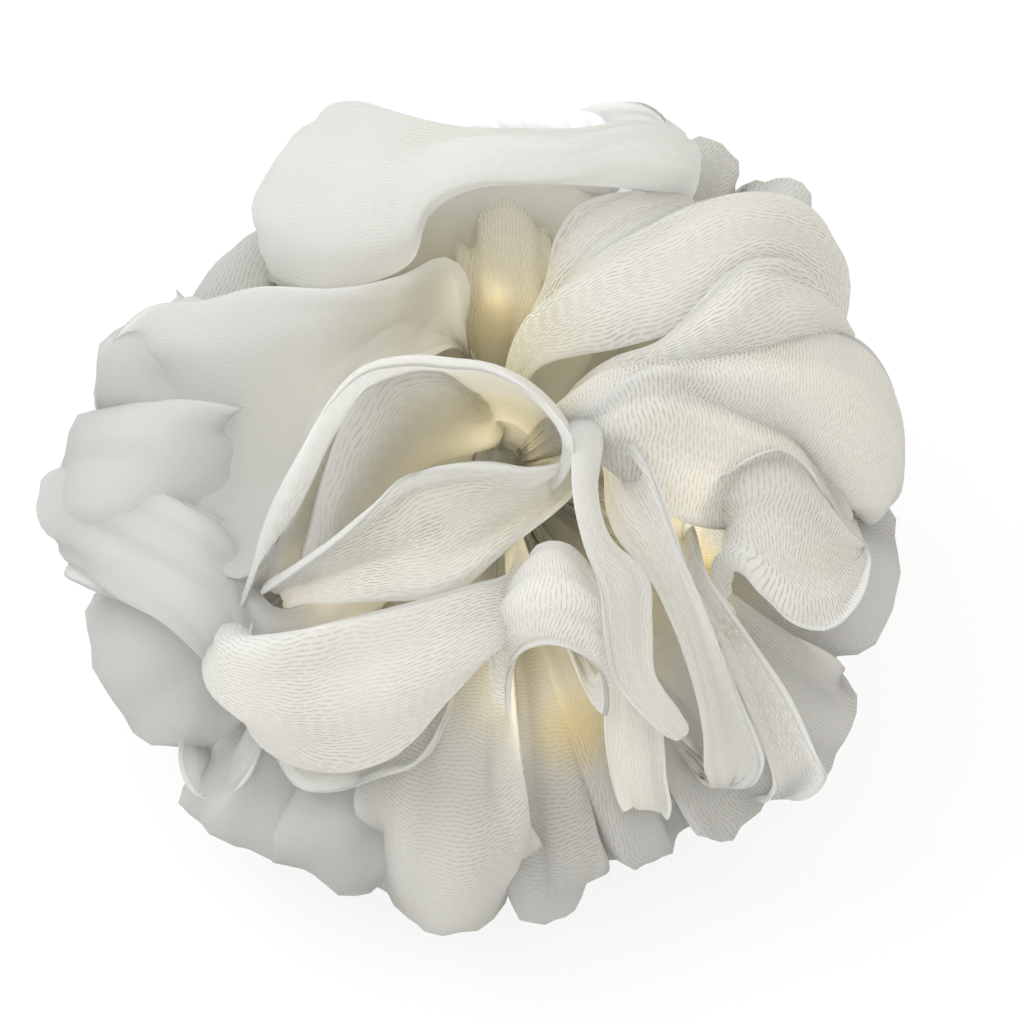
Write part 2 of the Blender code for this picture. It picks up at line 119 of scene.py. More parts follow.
light = {
    "bounces": 4,  # enough for light to cross several petals
    "worldColour": "#fffdf8",
    "worldStrength": 1.1,
    "keyColour": "#f3f8ff",
    "keyWatts": 5.0,
    "keySize": 0.7,  # m, as the fill's
    "keyPlace": (-480.0, 520.0, 620.0),  # face frame, mm: from the upper left and in front
    "fillColour": "#fff8ec",
    "fillWatts": 0.6,
    "fillSize": 0.9,
    "fillPlace": (620.0, -260.0, 520.0),
    # small lamps deep between the petals, for the light that thousands of threads pass on: place and watts
    "glowColour": "#fff7e6",
    "glowSize": 12 * mm,
    "glows": (((3.0, 10.0, 18.0), 0.0085), ((4.0, 33.0, 12.0), 0.008), ((11.0, -26.0, 22.0), 0.011),
              ((31.0, 3.0, 22.0), 0.013), ((-20.0, -10.0, 22.0), 0.009)),
}

ground = {
    "reach": 3.0,  # m from the middle to each edge
    "below": 0.0002,  # m, so that the floor and the net never share a plane
    "paper": "#f4f4f4",
    "white": 0.84,  # how much of what the eye sees of it is plain white, which leaves a faint shadow
}


def addNode(tree, kind, values=None, links=None, **settings):
    # one node with its settings, its unlinked values and what feeds it
    node = tree.nodes.new(kind)
    for name, value in settings.items():
        setattr(node, name, value)
    for socket, value in (values or {}).items():
        node.inputs[socket].default_value = value
    for socket, source in (links or {}).items():
        tree.links.new(source, node.inputs[socket])
    return node


def linear(colour):
    # sRGB hex to the linear values that the shaders take
    parts = [int(colour[i:i + 2], 16) / 255 for i in (1, 3, 5)]
    return (*[p / 12.92 if p <= 0.04045 else ((p + 0.055) / 1.055) ** 2.4 for p in parts], 1.0)


def newMaterial(name):
    material = bpy.data.materials.new(name)
    material.use_nodes = True
    material.node_tree.nodes.clear()
    return material, material.node_tree


def seenDirectly(tree):
    # 1 where the camera, a mirror or a glass sees this straight on
    path = addNode(tree, "ShaderNodeLightPath")
    either = addNode(tree, "ShaderNodeMath", operation="MAXIMUM",
                     links={0: path.outputs["Is Camera Ray"], 1: path.outputs["Is Glossy Ray"]})
    return addNode(tree, "ShaderNodeMath", operation="MAXIMUM",
                   links={0: either.outputs[0], 1: path.outputs["Is Transmission Ray"]}).outputs[0]


def makeWorld():
    world = bpy.data.worlds.new("studio")
    bpy.context.scene.world = world
    world.use_nodes = True
    tree = world.node_tree
    tree.nodes.clear()
    lamp = addNode(tree, "ShaderNodeBackground",
                   {"Color": linear(light["worldColour"]), "Strength": light["worldStrength"]})
    plain = addNode(tree, "ShaderNodeBackground", {"Color": linear("#ffffff"), "Strength": 1.0})
    choose = addNode(tree, "ShaderNodeMixShader", links={0: seenDirectly(tree), 1: lamp.outputs[0],
                                                         2: plain.outputs[0]})
    addNode(tree, "ShaderNodeOutputWorld", links={"Surface": choose.outputs[0]})


def makeLamp(name, place, watts, size, colour):
    data = bpy.data.lights.new(name, "AREA")
    data.color = linear(colour)[:3]
    data.energy = watts
    data.size = size
    lamp = bpy.data.objects.new(name, data)
    bpy.context.scene.collection.objects.link(lamp)
    at = toWorld(place)
    aim = toWorld((0, 0, 0)) - at
    turn = Matrix(np.stack(lampAxes(aim), 1).tolist()).to_4x4()
    lamp.matrix_world = Matrix.Translation(at) @ turn


def makeGlow(place, watts):
    data = bpy.data.lights.new("glow", "POINT")
    data.energy = watts
    data.shadow_soft_size = light["glowSize"]
    data.color = linear(light["glowColour"])[:3]
    lamp = bpy.data.objects.new("glow", data)
    lamp.location = toWorld(place)
    lamp.visible_camera = False
    bpy.context.scene.collection.objects.link(lamp)


def lampAxes(aim):
    back = -unit(aim)
    side = unit(np.cross((0.0, 0.0, 1.0), back))
    return side, np.cross(back, side), back


def makeFloor():
    bm = bmesh.new()
    bmesh.ops.create_grid(bm, x_segments=1, y_segments=1, size=ground["reach"])
    mesh = bpy.data.meshes.new("floor")
    bm.to_mesh(mesh)
    bm.free()
    floor = bpy.data.objects.new("floor", mesh)
    floor.location = (0, 0, -ground["below"])
    bpy.context.scene.collection.objects.link(floor)
    material, tree = newMaterial("matt white paper")
    paper = addNode(tree, "ShaderNodeBsdfDiffuse", {"Color": linear(ground["paper"])})
    glow = addNode(tree, "ShaderNodeEmission", {"Color": linear("#ffffff"), "Strength": 1.0})
    share = addNode(tree, "ShaderNodeMath", {1: ground["white"]}, {0: seenDirectly(tree)},
                    operation="MULTIPLY")
    lift = addNode(tree, "ShaderNodeMixShader", links={0: share.outputs[0], 1: paper.outputs[0],
                                                       2: glow.outputs[0]})
    addNode(tree, "ShaderNodeOutputMaterial", links={"Surface": lift.outputs[0]})
    mesh.materials.append(material)


makeCamera()
makeWorld()
makeLamp("key", light["keyPlace"], light["keyWatts"], light["keySize"], light["keyColour"])
makeLamp("fill", light["fillPlace"], light["fillWatts"], light["fillSize"], light["fillColour"])
for glowPlace, glowWatts in light["glows"]:
    makeGlow(glowPlace, glowWatts)
makeFloor()
bpy.context.scene.view_settings.view_transform = "Standard"
bpy.context.scene.cycles.max_bounces = light["bounces"]
print("camera, light and floor made")


# the hanging rope

rope = {
    "diameter": 6.5,
    "points": 60,  # along the route, and steps along each strand
    "steps": 420,
    "strands": 3,
    "strandSides": 16,
    "layLength": 11.0,  # one turn of a strand, which puts a lobe every 3.7 mm
    "strandShare": 0.29,  # a strand's radius as a share of the rope's diameter
    "fibres": 22.0,  # round a strand
    "fibreChanges": 60.0,  # along it, for each metre
    "fibreRelief": 0.15,
    "shades": ("#dfe3ea", "#fafbfd"),
    "route": [(0.4, 9, -8), (-1.5, 16, -9), (-8, 27, -9), (-14.5, 38, -8), (-15.5, 48, -5), (-9, 55.5, -1),
              (0, 58, 1), (9, 58.4, 1), (18, 56, 0), (24, 48, -3), (22.5, 38, -7), (15, 27, -9),
              (9.5, 16, -9), (7.6, 9, -8)],
}


def ropeTree(material):
    # strands that wind round the curve they are given
    tree = bpy.data.node_groups.new("rope strands", "GeometryNodeTree")
    face = tree.interface
    face.new_socket("Geometry", in_out="INPUT", socket_type="NodeSocketGeometry")
    for name in ("Rope diameter", "Lay length", "Strand radius"):
        face.new_socket(name, in_out="INPUT", socket_type="NodeSocketFloat")
    face.new_socket("Strands", in_out="INPUT", socket_type="NodeSocketInt")
    face.new_socket("Geometry", in_out="OUTPUT", socket_type="NodeSocketGeometry")
    given = addNode(tree, "NodeGroupInput")
    fine = addNode(tree, "GeometryNodeResampleCurve", {"Count": rope["steps"]},
                   {"Curve": given.outputs["Geometry"]})
    copies = addNode(tree, "GeometryNodeDuplicateElements", domain="SPLINE",
                     links={"Geometry": fine.outputs[0], "Amount": given.outputs["Strands"]})
    along = addNode(tree, "GeometryNodeSplineParameter")
    turns = addNode(tree, "ShaderNodeMath", operation="DIVIDE",
                    links={0: along.outputs["Length"], 1: given.outputs["Lay length"]})
    share = addNode(tree, "ShaderNodeMath", operation="DIVIDE",
                    links={0: copies.outputs["Duplicate Index"], 1: given.outputs["Strands"]})
    phase = addNode(tree, "ShaderNodeMath", operation="ADD",
                    links={0: turns.outputs[0], 1: share.outputs[0]})
    angle = addNode(tree, "ShaderNodeMath", {1: 2 * math.pi}, {0: phase.outputs[0]}, operation="MULTIPLY")
    side = addNode(tree, "GeometryNodeInputNormal")
    tangent = addNode(tree, "GeometryNodeInputTangent")
    turned = addNode(tree, "ShaderNodeVectorRotate", rotation_type="AXIS_ANGLE",
                     links={"Vector": side.outputs[0], "Axis": tangent.outputs[0],
                            "Angle": angle.outputs[0]})
    half = addNode(tree, "ShaderNodeMath", {1: 0.5}, {0: given.outputs["Rope diameter"]},
                   operation="MULTIPLY")
    outward = addNode(tree, "ShaderNodeMath", operation="SUBTRACT",
                      links={0: half.outputs[0], 1: given.outputs["Strand radius"]})
    shift = addNode(tree, "ShaderNodeVectorMath", operation="SCALE",
                    links={0: turned.outputs[0], "Scale": outward.outputs[0]})
    wound = addNode(tree, "GeometryNodeSetPosition",
                    links={"Geometry": copies.outputs["Geometry"], "Offset": shift.outputs[0]})
    ring = addNode(tree, "GeometryNodeCurvePrimitiveCircle", {"Resolution": rope["strandSides"]},
                   {"Radius": given.outputs["Strand radius"]})
    length = addNode(tree, "GeometryNodeStoreNamedAttribute", {"Name": "along"},
                     {"Geometry": wound.outputs[0], "Value": along.outputs["Length"]}, data_type="FLOAT")
    around = addNode(tree, "GeometryNodeSplineParameter")
    stored = addNode(tree, "GeometryNodeStoreNamedAttribute", {"Name": "around"},
                     {"Geometry": ring.outputs[0], "Value": around.outputs["Factor"]}, data_type="FLOAT")
    skin = addNode(tree, "GeometryNodeCurveToMesh", {"Fill Caps": True},
                   {"Curve": length.outputs[0], "Profile Curve": stored.outputs[0]})
    smooth = addNode(tree, "GeometryNodeSetShadeSmooth", links={"Geometry": skin.outputs[0]})
    real = addNode(tree, "GeometryNodeRealizeInstances", links={"Geometry": smooth.outputs[0]})
    dressed = addNode(tree, "GeometryNodeSetMaterial", {"Material": material}, {"Geometry": real.outputs[0]})
    addNode(tree, "NodeGroupOutput", links={0: dressed.outputs[0]})
    return tree


def polypropyleneRope():
    # soft white fibre, laid in strands: a low gloss, with fine fibres that run along each strand
    material, tree = newMaterial("white polypropylene rope")
    along = addNode(tree, "ShaderNodeAttribute", attribute_name="along")
    around = addNode(tree, "ShaderNodeAttribute", attribute_name="around")
    fibres = addNode(tree, "ShaderNodeMath", {1: rope["fibres"]}, {0: around.outputs["Fac"]},
                     operation="MULTIPLY")
    drift = addNode(tree, "ShaderNodeMath", {1: rope["fibreChanges"]}, {0: along.outputs["Fac"]},
                    operation="MULTIPLY")
    place = addNode(tree, "ShaderNodeCombineXYZ", links={"X": fibres.outputs[0], "Y": drift.outputs[0]})
    grain = addNode(tree, "ShaderNodeTexNoise", {"Scale": 1.0, "Detail": 3.0, "Roughness": 0.6},
                    {"Vector": place.outputs[0]})
    low, high = rope["shades"]
    tint = addNode(tree, "ShaderNodeMix", {6: linear(low), 7: linear(high)}, {0: grain.outputs[0]},
                   data_type="RGBA")
    relief = addNode(tree, "ShaderNodeBump", {"Strength": 0.5, "Distance": rope["fibreRelief"] * mm},
                     {"Height": grain.outputs[0]})
    fibre = addNode(tree, "ShaderNodeBsdfPrincipled",
                    {"Roughness": 0.42, "IOR": 1.49, "Sheen Weight": 0.2, "Sheen Roughness": 0.4},
                    {"Base Color": tint.outputs[2], "Normal": relief.outputs[0]})
    addNode(tree, "ShaderNodeOutputMaterial", links={"Surface": fibre.outputs[0]})
    return material


def asMesh(obj, name):
    # the evaluated object as a plain mesh, at the origin
    mesh = bpy.data.meshes.new_from_object(obj.evaluated_get(bpy.context.evaluated_depsgraph_get()))
    mesh.name = name
    bpy.data.objects.remove(obj)
    made = bpy.data.objects.new(name, mesh)
    bpy.context.scene.collection.objects.link(made)
    return made


def setInputs(modifier, values):
    # by the socket's identifier, found from its name
    for item in modifier.node_group.interface.items_tree:
        if item.item_type == "SOCKET" and item.in_out == "INPUT" and item.name in values:
            modifier[item.identifier] = values[item.name]


def makeRope():
    path = toWorld(smoothCurve(rope["route"], rope["points"]))
    curve = bpy.data.curves.new("rope path", "CURVE")
    curve.dimensions = "3D"
    spline = curve.splines.new("POLY")
    spline.points.add(len(path) - 1)
    for point, place in zip(spline.points, path):
        point.co = (*place, 1)
    guide = bpy.data.objects.new("rope path", curve)
    bpy.context.scene.collection.objects.link(guide)
    wind = guide.modifiers.new("strands", "NODES")
    wind.node_group = ropeTree(polypropyleneRope())
    setInputs(wind, {"Rope diameter": rope["diameter"] * mm, "Lay length": rope["layLength"] * mm,
                     "Strand radius": rope["strandShare"] * rope["diameter"] * mm,
                     "Strands": rope["strands"]})
    made = asMesh(guide, "twisted_rope")
    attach(made, "root")
    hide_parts("hanging_rope")


makeRope()


# the net

net = {
    "flatWidth": 30.0,  # mm across the flattened tube
    "gap": 1.2,  # mm between the flattened tube's two layers
    "ringFront": 44,  # points round a petal in front, and round one on the sides or behind
    "ringSide": 36,
    "rowsFront": 96,  # rows of points along a petal in front, on the sides and behind
    "rowsSide": 72,
    "rowsBack": 56,
    "rootSpread": 0.16,  # how far a petal's roots stand apart, as a share of the way to its first points
    "rootGap": 2.4,  # mm between a loop's two roots and the middle of the gathers
    "folds": ((1.2, 1.0), (2.3, 0.7), (4.1, 0.5), (7.5, 0.24)),  # soft folds: how many across, and how high
    "foldsFront": 0.75,  # mm, height of the highest in front, on the sides and behind
    "foldsSide": 1.1,
    "foldsBack": 1.7,
    "lowest": 0.0002,  # m, height of the net's lowest layer where it lies
    "pressed": 0.0003,  # m, half the way from there up to the other layer
    "bunch": 12.6,  # mm, radius of the gathers
    "bunchPleats": 27,
    "bunchDepth": 0.5,  # mm, of the pleats round it
    "pitch": 0.68,  # mm from thread to thread
    "stitch": 2.5,  # mm from one slit between two threads to the next
    "jitter": 0.5,  # how unevenly the slits of a row follow those of the next, as a share of the stitch
    "slit": 0.16,  # half a slit's width as a share of the pitch
    "slitOpen": 0.4,  # the same where the threads are pulled apart
    "slitEnds": 0.1,  # how much of a slit's shade is left between it and the next
    "slitSoftness": 0.08,  # of a slit's edges, as a share of the pitch
    # how the threads swing to the side: mm, and waves along and across in radians for each mm
    "sway": ((0.45, 0.31, 0.12), (0.2, 0.83, -0.4), (0.05, 2.1, 1.3)),
    "rimWidth": 1.5,  # mm
    "hidesInSlits": 0.7,  # how much of what is behind the net hides
    "hidesPulledOpen": 0.35,
    "through": 0.74,  # share of the light that the net passes on to its other side
    "threadToneAndGlow": ("#f7f7f5", "#fffbea", "#fffdf0"),  # at the rims, half-way in and at the gathers: the thread's ivory with painted glow, brighter and warmer towards the gathers, for light passed on between the layers
    # the slits' colours at the same three places: painted shade of the layers behind the slits, with painted
    # glow that lightens and warms it towards the gathers
    "slitShadeAndGlow": ("#dcd9cf", "#eae1c6", "#f6e6b8"),
    "warmThread": "#fbe7a0",  # where the light has been through many layers
    "warmSlit": "#e9c257",
    # where that is: place, reach in mm and how much
    "warmAt": (((4, 30, 6), 10, 0.35), ((32, -7, 20), 9, 0.5), ((7.5, -27, 28), 7, 1.0),
               ((15, -31, 18), 9, 0.7), ((-6, -2, 24), 6, 0.5)),
    # petals on which the slits hardly show, and how much they do
    "faint": {"drape": 0.25, "left_sweep": 0.2, "collar": 0.45, "throat": 0.2, "bump": 0.2,
              "lobe_left": 0.15, "lobe_left_high": 0.15, "lobe_left_low": 0.25, "fan_low_far": 0.3,
              "fan_low_left": 0.35, "gutter": 0.4},
    "clear": (0.62, 0.26, 0.2),  # how plainly the slits show elsewhere: middle, and how much it varies
    "paleFrom": 52.0,  # mm from the gathers, where the painted glow towards the gathers begins
    "deepUpTo": 12.0,
    # where the threads are pulled apart: place, reach in mm and how far
    "pulledOpen": (((13, 28, 26), 9, 1.0), ((23, 22.5, 38), 7, 0.9), ((42, 23, 34), 9, 0.6),
                   ((1, -17, 40), 8, 1.0), ((-8, -28, 36), 6, 0.7), ((38, -17, 35), 5, 1.0),
                   ((-6, -3, 42), 5, 0.7), ((15, -26, 36), 5, 0.8)),
    "seed": 11,
}

# petals made as a band of net between two edges, in the face frame: rim, other edge and belly
bands = {
    "collar": (
        [(-12, 50, -14), (-19, 57, -6), (-21.5, 60.2, 3), (-17, 61, 12), (-9, 58.6, 20), (3, 55.6, 28),
         (14, 55.6, 29), (23, 57.2, 22), (28.5, 57.5, 12), (24, 60.8, 2), (16, 60, -4), (10, 52, -12)],
        [(-22, 36, -8), (-30, 36, 2), (-30.5, 34, 12), (-22, 32, 22), (-9, 36, 27), (-6, 43, 29),
         (0, 46, 31), (10, 46.8, 31), (22, 46.5, 28), (30.5, 45, 16), (30, 42, 4), (24, 36, -8)],
        -5.0),
    "drape": (
        [(-1, 26, 20), (-1, 33, 22), (-3, 36.5, 22), (-10, 34, 26), (-20, 32.5, 30), (-31, 33, 27),
         (-40, 31, 23), (-47, 30.5, 18), (-53, 26, 10), (-56, 20, 4), (-56, 14, -4)],
        [(-2, 24, 20), (-6, 23, 26), (-13, 21, 30), (-19, 15, 33), (-23, 9, 34), (-26, 2, 34),
         (-29, -6, 33), (-34, -10, 31), (-41, -6, 28), (-48, 1, 23), (-52, 6, 16), (-55, 10, 8),
         (-54, 12, -4)],
        -5.0),
    "left_sweep": (
        [(-34, -28, 20), (-39.5, -21.5, 26), (-45, -16, 28), (-51, -13.5, 24), (-57, -11, 15),
         (-60, -8, 6)],
        [(-29, -14, 28), (-35, -3, 27), (-42, 1, 26), (-48, 5, 20), (-54, 9, 12), (-60, 9, 2)],
        -4.0),
    "cup": (
        [(-32, -33, 12), (-35, -25, 20), (-34, -16, 28), (-31, -9, 34), (-28, 0, 40), (-25, 7, 43),
         (-21, 15, 46), (-16, 20.5, 47), (-9, 22.3, 47), (-3, 22, 48), (2, 21.5, 48), (7, 19, 49),
         (11, 15.5, 49), (14, 10.5, 48), (13.5, 7, 45), (11, 4, 40)],
        [(-15, -22, 0), (-14, -17, 2), (-12, -11, 4), (-9, -5, 5), (-6, 0, 5), (-3, 4, 5), (-1, 7, 6),
         (0, 9, 6), (2, 10, 7), (3, 10, 7), (4, 9.5, 7), (5, 9, 7), (6, 8, 7), (6, 7, 6), (6, 5, 5),
         (6, 3, 4)],
        5.0),
    "cup_lining": (
        [(-5, 20.5, 38), (-12, 19, 40), (-17.5, 13, 41), (-21, 5, 39), (-22.8, -2, 36), (-24, -9, 32)],
        [(2, 10, 10), (-3, 9, 10), (-7, 6, 10), (-9, 1, 9), (-11, -4, 9), (-13, -9, 8)],
        2.5),
    "scoop": (
        [(15, 9, 38), (12, 6.3, 43), (8, 5.4, 45), (3, 5.8, 46), (-2, 5.9, 46), (-6, 5.6, 46),
         (-10, 4.5, 45), (-14, 1, 44), (-20, -4, 41), (-27, -9, 36), (-31, -12, 28)],
        [(15, 3, 34), (11, -1, 38), (7, -4, 40), (2, -8, 41), (-2, -11, 41), (-6, -12.3, 41),
         (-11, -12.8, 39), (-15, -13, 37), (-20, -13.5, 34), (-24, -13.5, 30), (-27, -14, 24)],
        -3.0),
    "bag": (
        [(-31, -14, 26), (-33, -17, 33), (-31, -17.4, 39), (-25, -17, 42), (-17, -15.4, 45), (-8, -13, 46),
         (0, -10.5, 45), (5, -9, 40)],
        [(-32, -22, 16), (-34.5, -26, 22), (-31, -33, 28), (-22, -37, 32), (-12, -36, 36), (-6, -29, 38),
         (0, -21, 38), (4, -15, 34)],
        -5.0),
    "bag_lip": (
        [(-30, -33, 14), (-28.5, -37, 20), (-25.5, -40.5, 23), (-20, -41, 25), (-14, -39, 27),
         (-8, -37, 27), (-4, -30, 24)],
        [(-25, -30, 10), (-26, -33, 16), (-22, -36, 20), (-18, -36, 22), (-13, -34, 23), (-9, -30, 22),
         (-4, -24, 18)],
        -2.0),
    "gutter": (
        [(-39, -22, 18), (-42.5, -30, 16), (-43.8, -38, 10), (-41.5, -42.2, 9), (-37, -42.3, 13),
         (-33.5, -38.5, 18), (-31, -34, 18)],
        [(-35, -20, 16), (-36, -27, 12), (-38, -34, 6), (-37.5, -37, 5), (-35.5, -36, 7), (-33, -32, 10),
         (-31, -27, 12)],
        1.0),
    "hook": (
        [(37.5, -15, 26), (35.6, -11.5, 30), (36.2, -8, 34), (39.5, -8.6, 38), (43, -12, 39),
         (47, -15.6, 39), (52, -16.8, 36), (56, -14, 31), (58, -10, 25), (57.5, -5, 18)],
        [(30, -6, 24), (30.5, -2, 28), (33, 2.8, 33), (37, 6, 37), (41, 8.2, 38), (45, 9, 37),
         (48.5, 6.8, 35), (52, 2, 31), (55, -2.5, 25), (56.5, -5, 17)],
        -3.5),
    "ribbon_1": (
        [(14, 11, 44), (14.5, 2, 48), (16, -5, 49), (18.3, -11, 48), (19, -18, 46), (20.5, -24, 43),
         (26, -31, 38), (29, -33, 32)],
        [(19, 11, 41), (18, 3, 45), (20, -4, 47), (25, -9, 46), (25.6, -16, 44), (26, -23, 42),
         (29, -28, 37), (31, -31, 30)],
        1.5),
    "ribbon_2": (
        [(20, 11, 40), (24, 8, 44), (27, 2, 46), (29.5, -5, 45), (32.5, -12, 43), (36, -20, 40),
         (39, -28, 35), (42, -37.5, 27), (38, -41, 20)],
        [(18.5, 7, 30), (19, 1, 34), (21, -4, 38), (25, -9, 40), (29, -17, 39), (32, -26, 36),
         (33.5, -33, 30), (34, -38, 24), (35, -41, 18)],
        2.0),
    "ribbon_3": (
        [(30, 0, 24), (34, -10, 36), (37.5, -15, 36), (41.5, -20.5, 34), (46, -27, 31), (50, -35, 26),
         (52, -40, 16), (47, -43, 8)],
        [(26, -4, 22), (30, -10, 32), (34, -16, 34), (37, -22, 33), (40, -29, 30), (43, -37, 25),
         (44, -42, 14), (42, -43, 8)],
        3.0),
    "strip": (
        [(19, -24, 28), (19.3, -31, 29), (19.8, -37, 27), (21, -42, 22), (22, -43, 14)],
        [(27, -26, 30), (27.6, -32, 29), (28.4, -39, 26), (29.3, -44, 21), (28, -44, 14)],
        -1.0),
    "trumpet": (
        [(5, -30, 32), (4.6, -25.5, 39), (5.6, -22, 43), (8, -19.8, 46), (11.5, -19, 48), (15, -20.3, 47),
         (18, -23.5, 43), (18, -29, 36)],
        [(3.5, -23, 29), (5, -17, 36), (7, -9.5, 42), (9.8, -4.6, 45), (13, -4.4, 45), (16, -8, 42),
         (18, -15, 38), (18, -24, 30)],
        2.0),
    "collar_leg": (
        [(9, 28, 14), (11.5, 34, 19), (13, 40, 22), (15.5, 44, 24), (22, 46.5, 22), (29, 45.5, 14)],
        [(12, 29, 24), (15, 33.5, 27), (19, 37.5, 28), (24, 41, 27), (29, 43.5, 24), (33, 44, 17)],
        -1.5),
    "fan": (
        [(7, 24, 20), (11, 30, 24), (15, 34, 27), (20, 38, 29), (26, 41.5, 29), (33, 44.8, 27),
         (40, 46, 23), (47, 45, 17), (52, 41, 9), (53.3, 36, 2), (52, 29, -5)],
        [(10, 21, 28), (16, 23, 32), (22, 24, 35), (29, 26, 36), (35, 30, 35), (40, 34, 32), (44, 35, 27),
         (48, 33, 20), (50, 29, 12), (51, 26, 4), (50, 23, -4)],
        -3.5),
    "fan_front": (
        [(20, 22, 35), (27, 24.5, 38), (31.5, 29, 39), (36, 33.8, 38), (40, 36.5, 35), (45, 36, 29),
         (50, 32, 21), (52.5, 27, 12)],
        [(25, 18, 36), (32, 19, 38), (38, 21, 36), (43, 22, 33), (48, 23, 27), (52, 23, 20), (54, 22, 12),
         (53, 20, 4)],
        -3.0),
    "shell": (
        [(14, 16.5, 34), (20, 20.3, 38), (28, 22.7, 39), (40, 24.6, 36), (47, 26.6, 30), (53, 27.1, 23),
         (58.5, 24.5, 15), (62, 18.5, 8), (63, 11, 3), (61.8, 4, -2), (57, -0.8, -6)],
        [(18, 12, 38), (25, 15, 40), (33, 14, 39), (40, 11, 36), (46, 8, 31), (51, 3, 26), (54, 0, 20),
         (56.5, -0.5, 12), (57, -1, 4), (56, -1, -2), (54, -2, -7)],
        -4.0),
    "inner_fold": (
        [(14.5, 14, 38), (19, 16, 41), (23, 19.8, 43), (28, 21, 43), (34, 18.6, 41), (41, 15.5, 37),
         (47, 11.5, 32), (52, 6, 26), (55, 0, 19)],
        [(18, 8, 36), (22, 5, 37), (27, 1, 36), (32, -1, 33), (37, -1, 29), (42, 1, 26), (46, 1, 22),
         (50, -3, 17), (52, -7, 10)],
        -3.0),
}


# petals made as a loop that runs out to its tip and back, in the face frame:
# tip, width, how far the front and the back of the loop stand apart, droop of its edges and sway
loops = {
    "throat": ((3, 50, 2), 46, 6, 6, 6, 0),
    "throat_pleat": ((5, 44, 12), 14, 5, 4, 4, 0),
    "nape_left": ((-17, 50, -25), 28, 8, 9, 6, 0),
    "nape_right": ((20, 49, -27), 28, 8, 9, 6, 0),
    "nape_middle": ((2, 45, -37), 30, 9, 9, 6, 0),
    "bump": ((-26, 37.3, 10), 13, 8, 6, 4, 0),
    "drop": ((-4.5, -62, 3), 27, 22, 8, 12, -3),
    "drop_small": ((12, -60.5, -4), 15, 16, 8, 6, 2),
    "lobe_low": ((27, -52.5, -2), 16, 14, 8, 5, 0),
    "fan_low_left": ((-24, -55, 2), 24, 14, 10, 5, 3),
    "fan_low_far": ((-37.5, -49, 0), 22, 14, 10, 6, 0),
    "lobe_left_low": ((-53.5, -28, 2), 32, 14, 10, 8, -3),
    "lobe_left": ((-61.8, 1, 4), 30, 20, 10, 10, 0),
    "lobe_left_high": ((-55.2, 22, 0), 26, 14, 12, 8, 0),
    "lobe_right": ((62, 12, -6), 28, 12, 10, 9, 4),
    "lobe_top_right": ((36.5, 54, -10), 16, 8, 10, 6, 0),
    "lobe_top_far": ((51, 46, -12), 18, 8, 10, 6, 0),
    "lobe_right_low": ((62, -14.5, -8), 31, 12, 10, 8, 0),
    "lobe_low_right": ((52.6, -38, 0), 26, 16, 10, 7, 0),
    "lobe_low_far": ((44, -43.5, 2), 22, 12, 8, 3, 0),
}

# petals that the face doesn't show, spread evenly over the back and sides
backPetals = {
    "reach": 58.0,  # mm from the gathers to the tips
    "sideReach": 52.0,
    "width": 30.0,
    "bulge": 11.0,  # how far the two sides of a petal's loop stand apart
    "droop": 7.0,
    "places": 40,  # on the whole ball, of which those behind this depth are used
    "from": 0.05,
    "press": 5.0,  # mm that the lowest petals are pressed flat
}

# petals whose threads run from rim to rim
acrossGrain = {"hook", "inner_fold", "shell", "trumpet", "drop", "drop_small"}

# petals that let what is behind them show through their slits
sheerPetals = {"fan", "fan_front", "shell", "inner_fold", "collar_leg", "scoop", "bag", "trumpet",
               "ribbon_3", "hook"}


def bandGrid(rim, edge, belly, along, across):
    # rows of points from the gathers, along a band of net and back to the gathers
    rim, edge = np.array(rim, float), np.array(edge, float)
    point = pose["gatherPoint"]
    roots = [point + net["rootSpread"] * (rails[end] - point) for rails, end in
             ((rim, 0), (rim, -1), (edge, 0), (edge, -1))]
    sideA = smoothCurve([roots[0], *rim, roots[1]], along)
    sideB = smoothCurve([roots[2], *edge, roots[3]], along)
    s = (1 - across)[None, :, None] / 2
    grid = sideA[:, None] * (1 - s) + sideB[:, None] * s
    span = sideB - sideA
    normal = unit(np.cross(unit(np.gradient((sideA + sideB) / 2, axis=0)), span))
    swell = belly * np.minimum(1, np.linalg.norm(span, axis=1) / 12)
    return grid + normal[:, None] * swell[:, None, None] * (1 - (2 * s - 1) ** 2)


def loopGrid(tip, width, front, back, droop, sway, along, across, twist=0.0):
    # rows of points from the gathers out to the tip of a petal and back
    tip = np.array(tip, float)
    point = pose["gatherPoint"]
    axis = unit(tip - point)
    reach = np.linalg.norm(tip - point)
    ahead = np.array((0.0, 0.0, 1.0)) if abs(axis[2]) < 0.95 else np.array((0.0, 1.0, 0.0))
    side = unit(np.cross(ahead, axis))
    up = unit(np.cross(axis, side))
    side, up = side * math.cos(twist) + up * math.sin(twist), up * math.cos(twist) - side * math.sin(twist)
    turn = np.pi * np.linspace(0, 1, along)
    out = reach * np.sin(turn) ** 0.85
    openSide = np.where(turn < np.pi / 2, front, back)
    slope = np.sign(np.cos(turn)) * np.abs(np.cos(turn)) ** 0.8
    lift = openSide * slope * np.sin(turn) * 1.9 + net["rootGap"] * slope
    half = width / 2 * (0.14 + 0.86 * np.sin(turn) ** 0.7)
    shift = sway * np.sin(turn) * np.cos(turn) ** 2 * 2.6
    s = across[None, :, None]
    spine = point + out[:, None] * axis + lift[:, None] * up + shift[:, None] * side
    grid = spine[:, None] + half[:, None, None] * s * side
    grid = grid - (droop * np.sin(turn) ** 3)[:, None, None] * np.abs(s) ** 2.2 * axis
    crown = np.where(turn < np.pi / 2, 1, -1) * np.abs(np.cos(turn)) ** 0.6 * half * 0.28
    return grid + crown[:, None, None] * (1 - s ** 2) * up


def gridNormals(grid):
    return unit(np.cross(np.gradient(grid, axis=0), np.gradient(grid, axis=1)))


